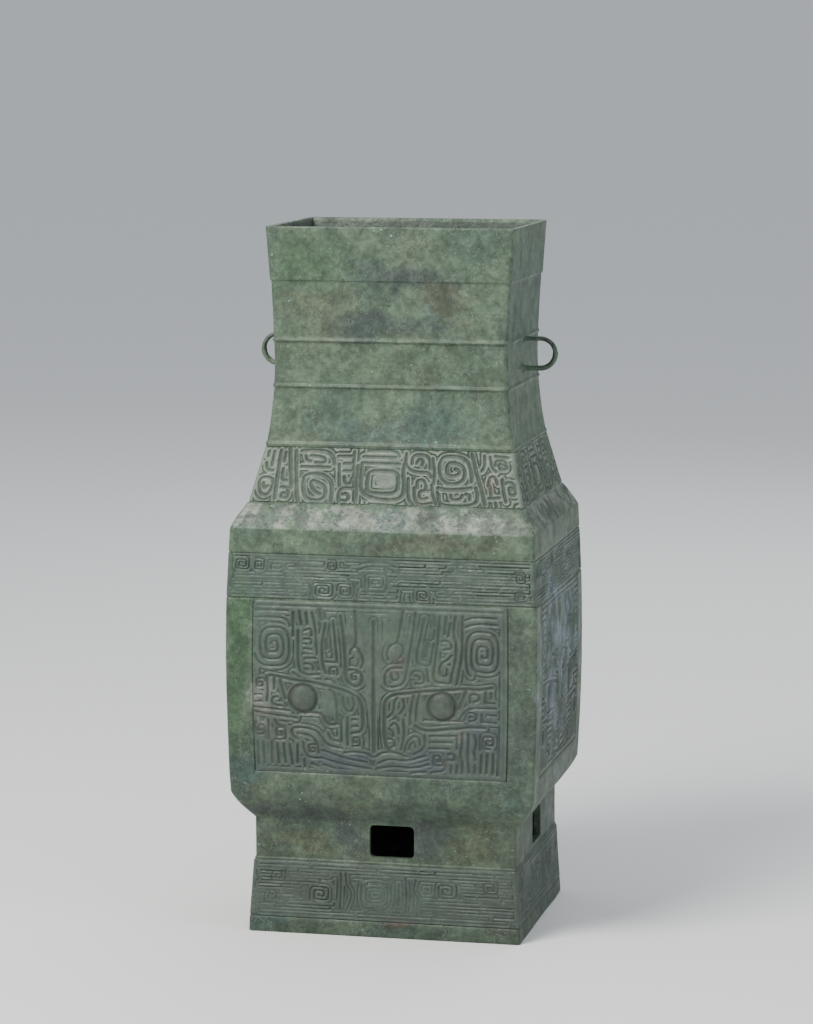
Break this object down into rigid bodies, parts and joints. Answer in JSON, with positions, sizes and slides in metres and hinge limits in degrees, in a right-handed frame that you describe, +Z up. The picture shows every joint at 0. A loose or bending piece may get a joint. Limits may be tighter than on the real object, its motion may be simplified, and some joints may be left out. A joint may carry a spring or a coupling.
{
  "type": "fanghu vessel",
  "caption": "Square-bodied cast bronze wine vessel with tall neck, ring lugs, sloping shoulder, broad belly with mask panels and a flared foot with windows.",
  "frame": {"origin": "middle of the foot's underside", "axes": "+Z up along the height, +X to the right as seen from the front, the front faces -Y"},
  "size_m": [0.1906, 0.163, 0.42],
  "materials": {
    "bronze": "matt green and grey-blue patina on cast bronze"
  },
  "bodies": {
    "root": {"vessel": "bronze"}
  },
  "joints": []
}
